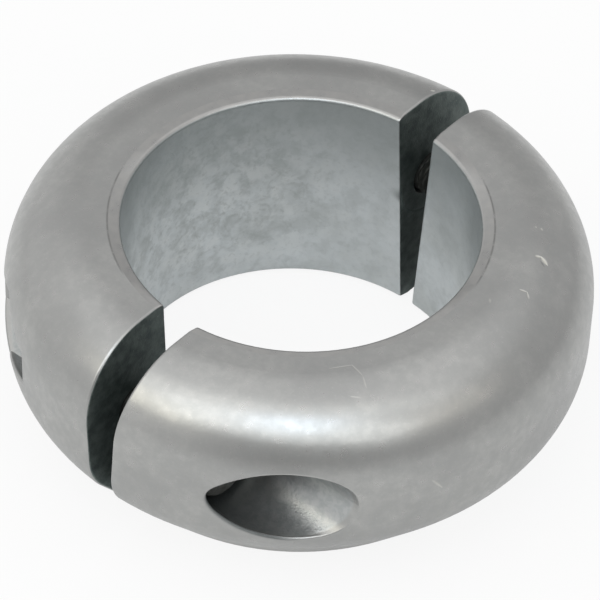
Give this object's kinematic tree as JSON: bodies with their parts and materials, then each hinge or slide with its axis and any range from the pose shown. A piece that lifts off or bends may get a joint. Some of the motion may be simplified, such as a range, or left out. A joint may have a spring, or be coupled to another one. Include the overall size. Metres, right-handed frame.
{
  "type": "two-piece shaft collar anode",
  "caption": "Sacrificial zinc anode ring in two halves that clamp round a propeller shaft, with screws sunk in side pockets.",
  "frame": {"origin": "on the shaft axis at mid height of the collar", "axes": "+Z along the shaft axis towards the flat, full crown; the split runs along Y; the front half lies on +X and the screws lie along X"},
  "size_m": [0.0826, 0.0824, 0.035],
  "materials": {
    "zinc": "as-cast zinc, satin and faintly mottled",
    "screw_steel": "plain stainless steel, machine finish"
  },
  "bodies": {
    "root": {"front_half": "zinc", "rear_half": "zinc", "front_screw": "screw_steel", "rear_screw": "screw_steel", "front_nut": "screw_steel", "rear_nut": "screw_steel"}
  },
  "joints": []
}
